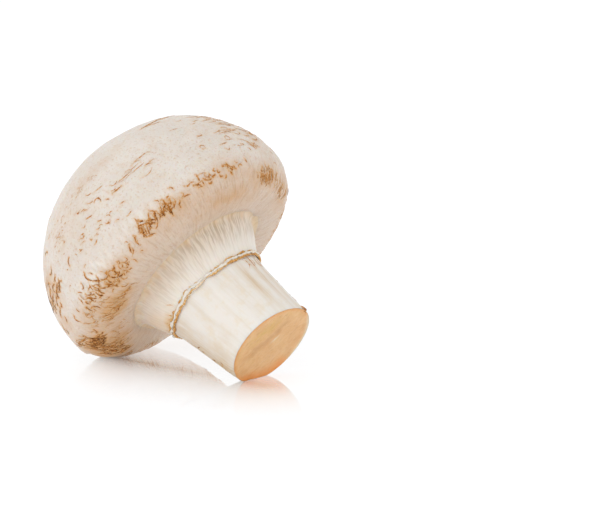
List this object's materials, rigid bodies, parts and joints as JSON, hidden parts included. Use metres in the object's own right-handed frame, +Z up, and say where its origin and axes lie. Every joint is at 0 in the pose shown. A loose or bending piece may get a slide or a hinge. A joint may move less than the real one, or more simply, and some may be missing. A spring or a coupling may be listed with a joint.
{
  "type": "button mushroom",
  "caption": "Closed button mushroom lying on its side: domed cap with a rolled margin, closed veil, low ring and a short stem with a cut end.",
  "frame": {"origin": "On the surface the mushroom rests on, at the middle of its footprint's bounding box", "axes": "+Z is up. The stem points towards +X and down, so the crown of the cap faces -X and up. The cap's edge and the lower edge of the cut stem rest on Z = 0."},
  "size_m": [0.0512, 0.0486, 0.0458],
  "materials": {
    "flesh": "satin"
  },
  "bodies": {
    "root": {"mushroom": "flesh"}
  },
  "joints": []
}
